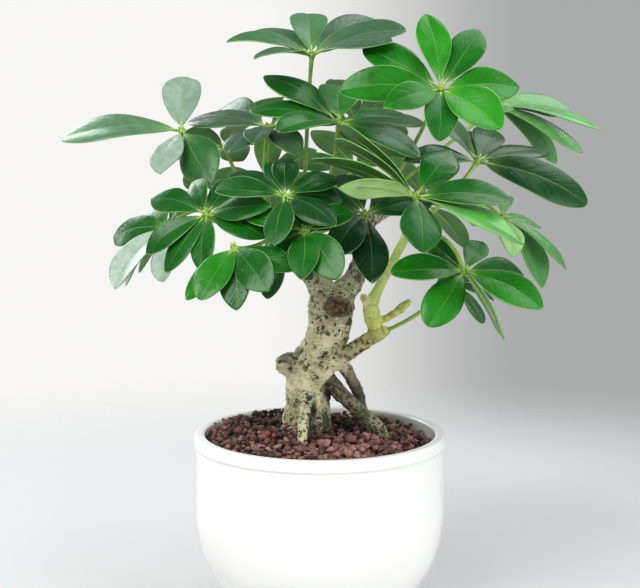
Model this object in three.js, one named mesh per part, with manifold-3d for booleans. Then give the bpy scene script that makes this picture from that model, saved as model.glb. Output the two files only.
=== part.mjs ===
// Potted umbrella plant: a white glazed pot, soil, a cover of lava gravel, a thick
// root-bound trunk with woody branches, one young green shoot and the leaf fronds.
// Millimetres, +Z up. The origin is the centre of the pot's flat foot, and the plant's
// best side faces -Y.
import * as THREE from 'three';
import { mergeVertices } from 'three/addons/utils/BufferGeometryUtils.js';
import Module from 'manifold-3d';

const wasm = await Module();
wasm.setup();

// Driving dimensions.
const GAP = 0.35; // air between two pieces that touch

const POT_RADIUS = 80;
const POT_HEIGHT = 115;
const POT_SIDES = 36;
const FOOT_RADIUS = 46;
const WAIST_RADIUS = 78.5; // the outside wall just under the rim band
const INNER_RADIUS = 72.5;
const RIM_BAND = 8; // height of the plain band that stands proud at the rim
const LIP = 1.5; // chamfer on the rim's two edges
const FLOOR_RADIUS = 44;
const FLOOR_THICKNESS = 8;
const SOIL_TOP = 98;

const STONE_PITCH = 11.5; // middle to middle of two gravel stones
const STONE_RELIEF = 3.2;
const MOUND_EDGE = 113; // mean height of the gravel at the wall
const MOUND_RISE = 3.5;
const MOUND_LEAN = 1; // how much higher it is at the left, and a little less so at the back
const MOUND_DIP = 3.8; // how much lower it lies at the right
const DIP_SIDE = 25; // degrees in plan, from +X towards +Y, of that lower side

const TRUNK_SIDES = 11;
const TRUNK_STEPS = 11;
const ROOT_SIDES = 7;
const ROOT_STEPS = 5;
const BARK_HOLLOWS = 0.1; // depth of the bark's hollows, as a share of the limb's radius

const BLADE_THICKNESS = 0.8;
const BLADE_WIDTH = 0.42; // widest part of a leaflet, as a share of its length
const BLADE_DROOP = 38; // degrees a leaflet bends from its stalk to its tip
const PETIOLE_RADIUS = 1.3;
const PETIOLE_SEAT = 0.25; // how far a petiole's foot sinks below the bark's high spots
const PETIOLE_LEAD = 6; // length over which a petiole leaves its stem straight
const HUB_RADIUS = 2.6;
const CLEARANCE = 1.5; // air kept round a leaflet when it is bent clear of other fronds
const OWN_CLEARANCE = 0.2; // the same, among the leaflets of one frond

const MATERIALS = {
  glaze: { color: '#f1f2f1', roughness: 0.12, metalness: 0 },
  soil: { color: '#3b2a20', roughness: 0.95, metalness: 0 },
  lava: { color: '#7d3f30', roughness: 0.9, metalness: 0 },
  bark: { color: '#b0a88a', roughness: 0.85, metalness: 0 },
  shoot: { color: '#a9bf5a', roughness: 0.5, metalness: 0 },
  leaf: { color: '#1f7a26', roughness: 0.3, metalness: 0 },
};

// Trunk, roots and branches: the points along the middle, and the radius at each. The
// trunk and the roots run downwards and end in the soil.
const TRUNK = {
  points: [[7, 10, 207], [6.5, 10, 195], [7, 10, 185], [4.5, 11, 175], [1, 12, 165], [-6, 14, 155],
    [-7, 15, 143], [-7.5, 15, 128], [-8.5, 15, 108], [-8, 15, 86]],
  radii: [13, 15.6, 14.8, 14.4, 13.6, 17, 15.8, 15.6, 16.5, 16],
};
const ROOTS = [
  { points: [[12, 12, 160], [23, 20, 140], [28, 25, 122], [31, 27, 90]], radii: [4.6, 4.2, 3.7, 3] },
  { points: [[2, 10, 150], [18, 4, 133], [39, -6, 117], [52, -12, 92]], radii: [6, 5.2, 4.4, 3] },
  { points: [[-8, 8, 146], [-9, -8, 134], [-11, -33, 116], [-12, -42, 92]], radii: [6, 4.4, 3.2, 2.4] },
  { points: [[-3, 8, 142], [-2, -4, 125], [-1, -10, 108], [0, -12, 90]], radii: [6, 4, 4, 3] },
  { points: [[-14, 15, 138], [-18, 14, 122], [-22, 13, 108], [-25, 12, 90]], radii: [8, 6, 4.8, 3] },
  { points: [[-8, 20, 140], [-10, 35, 124], [-12, 48, 108], [-13, 54, 90]], radii: [9, 6, 4.5, 3] },
];
const BRANCHES = {
  leader: {
    points: [[4, 10, 196], [-4, 8, 217], [-11, 5, 233], [-12.5, 5, 252], [-9.5, 5, 277]],
    radii: [9.5, 8.5, 6, 4.5, 3.4],
  },
  right_fork: {
    points: [[10, 11, 198], [24, 14, 213], [27, 20, 228], [33, 25, 250], [47, 20, 273]],
    radii: [9.5, 7.5, 5.5, 4.5, 3.2],
  },
  left_branch: {
    points: [[-11, 5, 238], [-28, 0, 248], [-45, -8, 255], [-62, -12, 266]],
    radii: [4.2, 3.6, 3.1, 2.6],
  },
  front_branch: {
    points: [[-12, 4, 241], [-17, -16, 247], [-21, -38, 250], [-23, -58, 254]],
    radii: [4, 3.4, 3, 2.5],
  },
  back_branch: {
    points: [[27, 21, 229], [22, 42, 240], [12, 62, 250], [2, 78, 258]],
    radii: [4.2, 3.5, 3, 2.5],
  },
  back_left_branch: {
    points: [[-11, 6, 232], [-22, 24, 238], [-36, 40, 246], [-50, 50, 256]],
    radii: [4.4, 3.5, 3, 2.5],
  },
  back_right_branch: {
    points: [[32, 24, 246], [46, 42, 252], [60, 56, 259], [72, 62, 268]],
    radii: [3.9, 3.3, 2.8, 2.5],
  },
  side_branch: {
    points: [[8, 11, 156], [18, 7, 164], [28, 3, 172], [36, 0.5, 177], [43, -1, 180.5]],
    radii: [6.4, 5.4, 5.2, 5, 3.4],
  },
};
// The knuckle is the node of the side branch that the green shoot grows from.
const KNUCKLE = { points: [[37, 1, 175], [34.5, -2.5, 182.5]], radii: [5, 5.2] };
const SHOOT = {
  points: [[34.4, -2.65, 182.8], [32.6, -5.5, 189.5], [31.4, -8, 196.5], [34.4, -12, 204.5],
    [41, -20, 219], [50, -36, 240], [54, -48, 253]],
  radii: [4.8, 5.2, 5.2, 3.4, 2.7, 2.6, 2.3],
};
const SHOOT_STUB = {
  points: [[34, -4, 187], [41, -4, 188], [46.5, -4, 191], [51, -4, 195], [56.5, -4, 199.5]],
  radii: [2.8, 2.3, 2.3, 3.1, 1.6],
};
const SHOOT_BUD = {
  points: [[32, -7.5, 196.5], [28.5, -9, 200], [25.8, -10, 203.5]],
  radii: [3.6, 3.1, 1.7],
};
const BURL = {
  points: [[-5, 14, 152], [-15, 13, 154.5], [-23, 12, 156], [-27.5, 11.5, 156.5]],
  radii: [9, 9, 8, 4.2],
};
// The stump of a branch that was cut off, flat end forward.
const PRUNING_SCAR = { middle: [11, -3, 196], radius: 8.2, flare: 3, depth: 8 };

// Fronds: the stem that carries each and how far along it, the petiole's elbow, the hub,
// the way the umbrella faces (degrees in plan from +X towards +Y, degrees from upright), and
// its leaflets as [turn clockwise from the top, length, lift above the umbrella's plane,
// roll about its own length, how much broader than usual]. Breadth widens a whole frond's.
const FRONDS = [
  { name: 'frond_crown', stem: 'leader', at: 1, elbow: [-8, 3, 318], hub: [-5, 0, 351],
    faces: [-90, 8],
    leaflets: [[-4, 58, 20], [45, 60, 17, 15], [92, 60, 15, 25], [125, 60, 12, 15], [232, 44, 2],
      [278, 54, 8, -10], [316, 60, 8, -8]] },
  { name: 'frond_bright', stem: 'right_fork', at: 1, elbow: [62, -20, 305], hub: [71, -45, 331],
    faces: [-80, 55],
    leaflets: [[-4, 50, 8], [36, 50, 4], [86, 50, -4, 0, 1.2], [139, 46, 12, 0, 1.5],
      [191, 40, 7, 0, 1.2], [243, 45, 14], [272, 60, -4], [318, 56, -10]] },
  { name: 'frond_far_right', stem: 'right_fork', at: 0.92, elbow: [84, 45, 296], hub: [116, 75, 318],
    faces: [-10, 25],
    leaflets: [[180, 72, 13, 11, 0.8], [150, 56, 18, 26], [182, 66, -2, 19, 0.8],
      [158, 60, -17, 46, 0.8], [80, 56, 2], [265, 50, 0], [320, 50, 5]] },
  { name: 'frond_centre_top', stem: 'leader', at: 0.75, elbow: [8, -32, 262], hub: [11, -35, 311],
    faces: [-80, 25],
    leaflets: [[10, 52, 0, 0, 1.2], [72, 60, -10], [130, 56, -4], [232, 54, 12], [288, 54, 0],
      [320, 62, 8]] },
  { name: 'frond_far_left', stem: 'left_branch', at: 1, elbow: [-80, -10, 282], hub: [-84, -10, 305],
    faces: [-150, 35], breadth: 1.08,
    leaflets: [[215, 76, 26, -3, 1.05], [314, 54, 16, 35], [143, 46, -4, -15],
      [112, 52, -26, 10, 1.15]] },
  { name: 'frond_upper_left', stem: 'left_branch', at: 0.45, elbow: [-38, -4, 270], hub: [-32, -5, 307],
    faces: [-110, 25],
    leaflets: [[282, 60, -2], [303, 62, -7, -8], [197, 46, 8], [170, 42, 14], [135, 44, -3], [75, 48, 4],
      [20, 44, -4]] },
  { name: 'frond_left', stem: 'left_branch', at: 0.8, elbow: [-57, -52, 246], hub: [-65, -75, 260],
    faces: [-105, 45],
    leaflets: [[291, 42, -6, 0, 1.1], [331, 36, -10, -25], [8, 40, -16], [92, 42, 14, 0, 1.1],
      [118, 42, 0, -9, 1.15], [172, 40, -6, 20], [195, 42, -12, 12], [228, 42, -10]] },
  { name: 'frond_low_left', stem: 'left_branch', at: 0.93, elbow: [-80, -22, 262], hub: [-92, -30, 248],
    faces: [-150, 45],
    leaflets: [[244, 46, 8, -15, 1.1], [179, 50, 1, -13, 1.2], [205, 46, -14], [137, 44, -11, 3, 1.1],
      [95, 36, 5], [345, 40, -5], [295, 38, 5]] },
  { name: 'frond_front_centre', stem: 'front_branch', at: 1, elbow: [-22, -74, 256], hub: [-20, -85, 271],
    faces: [-85, 40],
    leaflets: [[310, 40, -8], [340, 38, -12], [10, 38, -14], [42, 40, -10], [70, 40, -15, 15, 1.05],
      [140, 42, 12, 0, 1.1], [203, 42, 4, 20], [258, 40, 0]] },
  { name: 'frond_front_left', stem: 'front_branch', at: 0.86, elbow: [-36, -86, 240],
    hub: [-48, -105, 244], faces: [-95, 50],
    leaflets: [[201, 42, 9, 2, 1.1], [173, 42, 2, 10], [141, 44, 9, 20, 1.15], [117, 40, 14, -6],
      [219, 40, -9, 15]] },
  { name: 'frond_front_low', stem: 'front_branch', at: 0.7, elbow: [-10, -76, 238],
    hub: [-9, -100, 253], faces: [-80, 50],
    leaflets: [[240, 40, 12], [190, 42, 9, 15], [162, 44, 16, 25, 1.1], [60, 36, -10], [0, 36, -12],
      [300, 36, 0]] },
  { name: 'frond_heart', stem: 'right_fork', at: 0.46, elbow: [26, -22, 232], hub: [27, -45, 257],
    faces: [-80, 45],
    leaflets: [[184, 52, 1], [214, 48, 12], [300, 46, -5], [350, 44, -15], [30, 44, -12],
      [80, 46, -5], [255, 46, 4]] },
  { name: 'frond_shoot_tip', stem: 'shoot', at: 1, elbow: [56, -62, 262], hub: [55, -75, 270],
    faces: [-75, 45],
    leaflets: [[40, 52, -5, 0, 1.05], [339, 64, 0, 65], [318, 60, -1, 60], [293, 64, 6, 60],
      [268, 50, 13, 79, 1.1], [190, 48, 9, 0, 1.2], [100, 56, 6, -10], [116, 68, 5, -26]] },
  { name: 'frond_right', stem: 'shoot', at: 0.93, elbow: [76, -36, 262], hub: [95, -25, 287],
    faces: [-60, 30],
    leaflets: [[126, 72, -4, 24, 0.9], [85, 58, 2, -5, 0.8], [55, 50, 0], [14, 46, -5], [325, 46, 0],
      [276, 50, 6]] },
  { name: 'frond_low_right', stem: 'shoot', at: 0.86, elbow: [74, -60, 258], hub: [84, -70, 226],
    faces: [-80, 45],
    leaflets: [[265, 46, 7], [217, 46, -3, 0, 1.15], [136, 54, 14, 0, 1.05], [82, 42, -16, 7],
      [166, 54, 5, -75, 0.9], [31, 36, -15], [330, 38, -15]] },
  { name: 'frond_right_back', stem: 'back_right_branch', at: 1, elbow: [98, 60, 268],
    hub: [120, 50, 246], faces: [-40, 25],
    leaflets: [[152, 54, -39, 25], [151, 54, -18, 2, 0.8], [261, 46, 3, 19, 0.9], [95, 44, -10],
      [222, 44, -10], [45, 44, 0], [310, 44, 0]] },
  { name: 'frond_low_twig', stem: 'side_branch', at: 1, elbow: [66, 2, 190], hub: [84, 8, 208],
    faces: [-30, 35], leaflets: ring(6, 36, 0, 20) },
  { name: 'frond_back_top', stem: 'right_fork', at: 0.8, elbow: [28, 52, 276], hub: [24, 66, 306],
    faces: [80, 25], leaflets: ring(7, 52, 6, 10) },
  { name: 'frond_back_left_high', stem: 'back_left_branch', at: 0.9, elbow: [-56, 52, 272],
    hub: [-62, 58, 292], faces: [130, 35], leaflets: ring(7, 52, 4, 25) },
  { name: 'frond_back_left_low', stem: 'back_left_branch', at: 0.75, elbow: [-74, 40, 246],
    hub: [-92, 44, 244], faces: [165, 45], leaflets: ring(6, 46, 0, 5) },
  { name: 'frond_back_mid_left', stem: 'back_left_branch', at: 1, elbow: [-44, 84, 256],
    hub: [-36, 100, 266], faces: [105, 50], leaflets: ring(6, 48, 4, 15) },
  { name: 'frond_back_mid_right', stem: 'back_branch', at: 1, elbow: [14, 98, 264],
    hub: [24, 108, 276], faces: [80, 45], leaflets: ring(6, 48, 4, 30) },
  { name: 'frond_back_low', stem: 'back_branch', at: 0.75, elbow: [0, 86, 238],
    hub: [-8, 98, 226], faces: [100, 60], leaflets: ring(6, 44, 2, 12) },
  { name: 'frond_back_right', stem: 'back_right_branch', at: 0.85, elbow: [72, 88, 254],
    hub: [74, 104, 250], faces: [60, 45], leaflets: ring(6, 46, 2, 20) },
  { name: 'frond_under', stem: 'front_branch', at: 0.5, elbow: [-22, -50, 242], hub: [-24, -62, 245],
    faces: [-95, 60], leaflets: ring(6, 38, 0, 8) },
];

// Leaflet: share of its length, and width there as a share of its widest part. The first
// two stations are the thin stalk.
const BLADE_STATIONS = [[0, 0.1], [0.15, 0.1], [0.43, 0.86], [0.73, 1], [1, 0.32]];

// Leaflets spread evenly round a hub, a little unlike in length and lift.
function ring(count, length, lift, turn) {
  const leaflets = [];
  for (let i = 0; i < count; i += 1) {
    const stagger = i % 2 === 0 ? 5 : -4;
    leaflets.push([turn + (i * 360) / count, length - (i % 3) * 3, lift + stagger]);
  }
  return leaflets;
}

function radians(degrees) {
  return (degrees * Math.PI) / 180;
}

function vector(point) {
  return new THREE.Vector3(...point);
}

// A repeatable random number from 0 to 1 for the lattice site (i, j).
function chance(i, j) {
  const wave = Math.sin(i * 12.9898 + j * 78.233) * 43758.5453;
  return wave - Math.floor(wave);
}

function solidOf(geometry) {
  const bare = geometry.index ? geometry.toNonIndexed() : geometry.clone();
  bare.deleteAttribute('normal');
  bare.deleteAttribute('uv');
  const merged = mergeVertices(bare, 1e-3);
  return new wasm.Manifold(new wasm.Mesh({
    numProp: 3,
    vertProperties: new Float32Array(merged.attributes.position.array),
    triVerts: new Uint32Array(merged.index.array),
  }));
}

function meshOf(name, solid, material) {
  const { vertProperties, triVerts } = solid.getMesh();
  const geometry = new THREE.BufferGeometry();
  geometry.setAttribute('position', new THREE.BufferAttribute(new Float32Array(vertProperties), 3));
  geometry.setIndex(new THREE.BufferAttribute(new Uint32Array(triVerts), 1));
  geometry.computeVertexNormals();
  const mesh = new THREE.Mesh(geometry, new THREE.MeshStandardMaterial(MATERIALS[material]));
  mesh.name = name;
  return mesh;
}

function turned(profile) {
  const points = profile.map(([radius, height]) => new THREE.Vector2(radius, height));
  const geometry = new THREE.LatheGeometry(points, POT_SIDES);
  geometry.rotateX(Math.PI / 2);
  return solidOf(geometry);
}

function pathThrough(points) {
  return new THREE.CatmullRomCurve3(points.map(vector));
}

function radiusAt(radii, share) {
  const place = share * (radii.length - 1);
  const before = Math.min(Math.floor(place), radii.length - 2);
  return THREE.MathUtils.lerp(radii[before], radii[before + 1], place - before);
}

function roundSection(radius, sides) {
  const corners = [];
  for (let i = 0; i < sides; i += 1) {
    const angle = (i * 2 * Math.PI) / sides;
    corners.push(new THREE.Vector2(radius * Math.cos(angle), radius * Math.sin(angle)));
  }
  return new THREE.Shape(corners);
}

// A round limb that tapers along its path. It is drawn 1 mm thick and then swollen to the
// limb's radius, with shallow hollows where it is knobbly. A hole for it is the same limb
// with some extra all round and past its foot.
function limb({ points, radii }, sides, steps, knobbly = 0, extra = 0) {
  const path = pathThrough(points);
  const settings = { steps, extrudePath: path, bevelEnabled: false };
  const geometry = new THREE.ExtrudeGeometry(roundSection(1, sides), settings);
  const middles = path.getSpacedPoints(steps);
  const position = geometry.attributes.position;
  const corner = new THREE.Vector3();
  for (let i = 0; i < position.count; i += 1) {
    corner.fromBufferAttribute(position, i);
    const distances = middles.map((middle) => middle.distanceTo(corner));
    const step = distances.indexOf(Math.min(...distances));
    const share = path.getUtoTmapping(step / steps);
    const out = corner.clone().sub(middles[step]);
    const bumps = Math.sin(0.42 * corner.z + 4 * out.x) * Math.sin(3 * out.y + step);
    const hollow = 1 - knobbly * (0.5 + 0.5 * bumps);
    corner.copy(middles[step]).addScaledVector(out, radiusAt(radii, share) * hollow + extra);
    if (step === steps) {
      corner.addScaledVector(path.getTangent(1), extra);
    }
    position.setXYZ(i, corner.x, corner.y, corner.z);
  }
  return solidOf(geometry);
}

function hubOf({ hub }) {
  const geometry = new THREE.IcosahedronGeometry(HUB_RADIUS);
  geometry.translate(...hub);
  return solidOf(geometry);
}

// The inside of the pot, from the middle of its floor up the wall.
const INNER_WALL = [
  [0, FLOOR_THICKNESS], [FLOOR_RADIUS, FLOOR_THICKNESS], [62, 24], [70, 46], [INNER_RADIUS, 60],
];

function potSolid() {
  const bandFoot = POT_HEIGHT - RIM_BAND;
  return turned([
    [0, 0], [FOOT_RADIUS, 0], [55, 5], [64, 15], [71.5, 28], [76.5, 41], [79.6, 58],
    [WAIST_RADIUS, 80], [WAIST_RADIUS, bandFoot], [POT_RADIUS, bandFoot + 1],
    [POT_RADIUS, POT_HEIGHT - LIP], [POT_RADIUS - LIP, POT_HEIGHT],
    [INNER_RADIUS + LIP, POT_HEIGHT], [INNER_RADIUS, POT_HEIGHT - LIP],
    ...[...INNER_WALL].reverse(),
  ]);
}

// The plain holes that the trunk and the roots stand in.
function rootHoles() {
  const margin = GAP + 0.1;
  const holes = ROOTS.map((root) => limb(root, ROOT_SIDES, ROOT_STEPS, 0, margin));
  holes.push(limb(TRUNK, TRUNK_SIDES, TRUNK_STEPS, 0, margin));
  return wasm.Manifold.union(holes);
}

function soilSolid(holes) {
  const side = INNER_WALL.map(([radius, height]) => [Math.max(radius - GAP, 0), height + GAP]);
  const filling = turned([...side, [INNER_RADIUS - GAP, SOIL_TOP], [0, SOIL_TOP]]);
  return filling.subtract(holes);
}

// Height of the gravel's surface: a low mound round the trunk, heaped up at the left and
// the back, and lower at the right, where the inside of the rim shows.
function gravelHeight(x, y) {
  const reach = Math.hypot(x, y) / INNER_RADIUS;
  const lean = (0.8 * y - x) / INNER_RADIUS;
  const side = radians(DIP_SIDE);
  const toRight = Math.max(x * Math.cos(side) + y * Math.sin(side), 0) / INNER_RADIUS;
  const dip = (toRight * toRight) / Math.max(reach, 0.1);
  return MOUND_EDGE + MOUND_RISE * (1 - reach * reach) + MOUND_LEAN * lean - MOUND_DIP * dip;
}

// The gravel's top is a triangular lattice. Every third site is the top of a stone, and
// the sites round it lie low, so that each stone stands up as a small facetted bump.
function gravelSolid(holes) {
  const spacing = STONE_PITCH / Math.sqrt(3);
  const rowSpacing = (spacing * Math.sqrt(3)) / 2;
  const columns = 2 * Math.ceil(INNER_RADIUS / spacing) + 4;
  const rows = 2 * Math.ceil(INNER_RADIUS / rowSpacing) + 4;
  const depth = 80;
  const slab = new THREE.BoxGeometry(columns * spacing, rows * rowSpacing, depth, columns, rows, 1);
  const position = slab.attributes.position;
  for (let n = 0; n < position.count; n += 1) {
    const i = Math.round(position.getX(n) / spacing + columns / 2);
    const j = Math.round(position.getY(n) / rowSpacing + rows / 2);
    const isTop = position.getZ(n) > 0;
    const isStone = (i - Math.floor(j / 2) - j + 3 * rows) % 3 === 0;
    const wander = isStone ? 0.25 : 0.12;
    const x = (i - columns / 2 + (j % 2) / 2 + wander * (chance(i, j) - 0.5)) * spacing;
    const y = (j - rows / 2 + wander * (chance(j, i) - 0.5)) * rowSpacing;
    const bump = STONE_RELIEF * (isStone ? 0.5 + 0.5 * chance(i + 7, j) : -0.25 * chance(i, j + 5));
    position.setXYZ(n, x, y, isTop ? gravelHeight(x, y) + bump : SOIL_TOP - depth);
  }
  const well = turned([
    [0, SOIL_TOP + GAP], [INNER_RADIUS - GAP, SOIL_TOP + GAP], [INNER_RADIUS - GAP, 140], [0, 140],
  ]);
  return solidOf(slab).intersect(well).subtract(holes);
}

function trunkSolid() {
  const pieces = ROOTS.map((root) => limb(root, ROOT_SIDES, ROOT_STEPS, BARK_HOLLOWS));
  pieces.push(limb(TRUNK, TRUNK_SIDES, TRUNK_STEPS, 1.4 * BARK_HOLLOWS));
  for (const [name, branch] of Object.entries(BRANCHES)) {
    const isMain = name === 'leader' || name === 'right_fork';
    pieces.push(limb(branch, isMain ? 8 : 6, isMain ? 6 : 4, BARK_HOLLOWS));
  }
  pieces.push(limb(BURL, 8, 4, BARK_HOLLOWS));
  pieces.push(limb(KNUCKLE, 8, 2));
  const { middle, radius, flare, depth } = PRUNING_SCAR;
  const scar = new THREE.CylinderGeometry(radius + flare, radius, depth, TRUNK_SIDES);
  scar.rotateX(radians(-8));
  scar.translate(...middle);
  pieces.push(solidOf(scar));
  return wasm.Manifold.union(pieces);
}

function shootSolid() {
  return limb(SHOOT, 8, 11).add(limb(SHOOT_STUB, 6, 4)).add(limb(SHOOT_BUD, 6, 2));
}

const STEMS = { ...BRANCHES, shoot: SHOOT };

// Where a petiole leaves its stem: on the bark, at right angles to it, or straight on from
// the stem's end.
function petioleOf({ stem, at, elbow, hub }) {
  const path = pathThrough(STEMS[stem].points);
  const share = path.getUtoTmapping(at);
  const foot = path.getPoint(share);
  const along = path.getTangent(share);
  const away = vector(elbow).sub(foot);
  if (at < 1) {
    away.addScaledVector(along, -away.dot(along));
  } else {
    away.copy(along);
  }
  away.normalize();
  const bark = at < 1 ? radiusAt(STEMS[stem].radii, share) - PETIOLE_SEAT : 0;
  const start = foot.clone().addScaledVector(away, bark + GAP);
  const lead = start.clone().addScaledVector(away, PETIOLE_LEAD);
  return new THREE.CubicBezierCurve3(start, lead, vector(elbow), vector(hub));
}

function frameOf({ hub, faces, breadth = 1 }) {
  const [compass, tilt] = faces.map(radians);
  const axis = new THREE.Vector3(
    Math.sin(tilt) * Math.cos(compass), Math.sin(tilt) * Math.sin(compass), Math.cos(tilt));
  const top = new THREE.Vector3(
    -Math.cos(tilt) * Math.cos(compass), -Math.cos(tilt) * Math.sin(compass), Math.sin(tilt));
  return { hub: vector(hub), axis, top, side: top.clone().cross(axis), breadth };
}

// One leaflet, or its part from the station first on: a flat bar that runs through the
// stations, bent along an arc in the plane of its run and the umbrella's axis. The bend is
// its extra lift, its swing and the share of its length that it keeps. It is drawn larger
// all round by grow.
function leaflet(frame, [turn, length, lift, roll = 0, broader = 1], bend, first, grow) {
  const angle = radians(turn + bend.swing);
  const droop = radians(BLADE_DROOP);
  const start = radians(lift + bend.lift) + droop / 2;
  const reach = length * bend.share;
  const tilt = radians(roll);
  const run = frame.top.clone().multiplyScalar(Math.cos(angle));
  run.addScaledVector(frame.side, Math.sin(angle));
  const across = frame.axis.clone().cross(run);
  const stations = BLADE_STATIONS.slice(first);
  const geometry = new THREE.BoxGeometry(1, 1, 1, 1, 1, stations.length - 1);
  const position = geometry.attributes.position;
  const corner = new THREE.Vector3();
  const upward = new THREE.Vector3();
  for (let i = 0; i < position.count; i += 1) {
    const k = Math.round((position.getZ(i) + 0.5) * (stations.length - 1));
    const [share, width] = stations[k];
    const slope = start - droop * share;
    const forward = (reach * (Math.sin(start) - Math.sin(slope))) / droop;
    const rise = (reach * (Math.cos(slope) - Math.cos(start))) / droop;
    const wide = reach * BLADE_WIDTH * frame.breadth * broader * width + 2 * grow;
    const thick = BLADE_THICKNESS + 2 * grow;
    corner.copy(frame.hub).addScaledVector(run, forward).addScaledVector(frame.axis, rise);
    upward.copy(frame.axis).multiplyScalar(Math.cos(slope)).addScaledVector(run, -Math.sin(slope));
    const aside = position.getX(i) * wide;
    const above = position.getY(i) * thick;
    corner.addScaledVector(across, aside * Math.cos(tilt) - above * Math.sin(tilt));
    corner.addScaledVector(upward, above * Math.cos(tilt) + aside * Math.sin(tilt));
    position.setXYZ(i, corner.x, corner.y, corner.z);
  }
  return solidOf(geometry);
}

function boxesMeet(a, b) {
  return [0, 1, 2].every((k) => a.min[k] < b.max[k] && b.min[k] < a.max[k]);
}

function crosses(solid, others) {
  const box = solid.boundingBox();
  return others.some((other) => {
    if (!boxesMeet(box, other.box)) {
      return false;
    }
    const shared = solid.intersect(other.solid);
    const meets = !shared.isEmpty();
    shared.delete();
    return meets;
  });
}

function obstacle(owner, solid) {
  return { owner, solid, box: solid.boundingBox() };
}

// The bends that a leaflet tries, the gentlest first.
const BENDS = [];
for (const share of [1, 0.86, 0.72]) {
  for (const lift of [0, 7, -7, 14, -14, 21, -21]) {
    for (const swing of [0, 6, -6, 12, -12]) {
      BENDS.push({ share, lift, swing });
    }
  }
}

// Every stem and petiole stands where it grew. The leaflets follow, frond by frond, and
// one that would cross something that is already there is bent clear of it.
function frondSolids(stemSolids) {
  const taken = stemSolids.map((solid) => obstacle('stem', solid));
  const stalks = new Map();
  for (const frond of FRONDS) {
    const settings = { steps: 4, extrudePath: petioleOf(frond), bevelEnabled: false };
    const petiole = solidOf(new THREE.ExtrudeGeometry(roundSection(PETIOLE_RADIUS, 5), settings));
    const stalk = petiole.add(hubOf(frond));
    stalks.set(frond.name, stalk);
    taken.push(obstacle(frond.name, stalk));
  }
  const solids = new Map();
  for (const frond of FRONDS) {
    const frame = frameOf(frond);
    const own = [];
    const pieces = [stalks.get(frond.name)];
    const others = taken.filter((item) => item.owner !== frond.name);
    for (const measures of frond.leaflets) {
      const bend = BENDS.find((choice) => {
        const blade = leaflet(frame, measures, choice, 0, CLEARANCE);
        const tip = leaflet(frame, measures, choice, 2, OWN_CLEARANCE);
        const free = !crosses(blade, others) && !crosses(tip, own);
        blade.delete();
        tip.delete();
        return free;
      });
      if (bend) {
        pieces.push(leaflet(frame, measures, bend, 0, 0));
        own.push(obstacle(frond.name, leaflet(frame, measures, bend, 2, OWN_CLEARANCE)));
        taken.push(obstacle(frond.name, pieces[pieces.length - 1]));
      }
    }
    solids.set(frond.name, wasm.Manifold.union(pieces));
  }
  return solids;
}

const plant = new THREE.Group();
const holes = rootHoles();
const trunk = trunkSolid();
const shoot = shootSolid();
plant.add(meshOf('pot', potSolid(), 'glaze'));
plant.add(meshOf('soil', soilSolid(holes), 'soil'));
plant.add(meshOf('gravel', gravelSolid(holes), 'lava'));
plant.add(meshOf('trunk', trunk, 'bark'));
plant.add(meshOf('green_shoot', shoot, 'shoot'));
for (const [name, solid] of frondSolids([trunk, shoot])) {
  plant.add(meshOf(name, solid, 'leaf'));
}

export default plant;
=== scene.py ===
import math
import random

import bmesh
import bpy
from mathutils import Matrix, Vector, geometry, noise
from mathutils.bvhtree import BVHTree
from mathutils.kdtree import KDTree


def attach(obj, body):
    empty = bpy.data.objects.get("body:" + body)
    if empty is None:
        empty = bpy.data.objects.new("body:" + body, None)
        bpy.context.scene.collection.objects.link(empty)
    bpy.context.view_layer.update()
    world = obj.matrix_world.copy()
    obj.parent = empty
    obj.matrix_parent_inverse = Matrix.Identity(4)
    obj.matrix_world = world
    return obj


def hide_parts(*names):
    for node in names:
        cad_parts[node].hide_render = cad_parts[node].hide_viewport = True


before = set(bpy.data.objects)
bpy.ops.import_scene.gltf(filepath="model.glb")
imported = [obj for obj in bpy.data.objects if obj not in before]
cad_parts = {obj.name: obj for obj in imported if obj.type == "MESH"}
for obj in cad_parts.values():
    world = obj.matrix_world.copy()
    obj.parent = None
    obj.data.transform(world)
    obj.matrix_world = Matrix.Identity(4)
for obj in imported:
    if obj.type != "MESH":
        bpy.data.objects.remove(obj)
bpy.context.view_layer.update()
MM = 0.001  # the sizes below are in millimetres


# --- The room -----------------------------------------------------------------------
# A plain pale floor, a bright window on the left, a dimmer room on the right, and the
# camera a metre in front of the pot, a little above the leaves and tipped down 8 degrees.
CAMERA_PLACE = (0, -994, 344.5)
CAMERA_TIP = 8.1
FLOOR_RADIUS = 0.9  # in metres, as the two below, between which it fades into the backdrop
FADE_START = 0.34
FADE_END = 0.80
LAMPS = [  # name, place, what it looks at, width, power, colour
    ("window_light", (-700, -850, 1250), (0, 0, 200), 950, 24, (1.0, 0.99, 0.97)),
    ("back_window", (-800, 1000, 850), (0, 0, 260), 700, 9, (0.95, 0.98, 1.0)),
    ("ceiling_light", (600, 350, 1100), (100, 100, 100), 900, 8, (0.97, 0.99, 1.0)),
    ("wall_bounce", (950, -750, 500), (0, 0, 150), 800, 9, (1.0, 0.99, 0.98)),
]


def give(node, socket, value):
    """Sets a node's socket to a value, or wires it to another socket."""
    if isinstance(value, bpy.types.NodeSocket):
        node.id_data.links.new(value, node.inputs[socket])
    else:
        node.inputs[socket].default_value = value


def add_node(tree, kind, sockets=None, **settings):
    """A shader node with its settings, its sockets set to values or wired to other sockets."""
    node = tree.nodes.new("ShaderNode" + kind)
    for name, value in settings.items():
        setattr(node, name, value)
    for socket, value in (sockets or {}).items():
        give(node, socket, value)
    return node


def new_finish(name):
    """A material with nodes, and its tree, main shader and object coordinates."""
    finish = bpy.data.materials.new(name)
    finish.use_nodes = True
    tree = finish.node_tree
    coordinates = add_node(tree, "TexCoord").outputs["Object"]
    return finish, tree, tree.nodes["Principled BSDF"], coordinates


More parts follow.
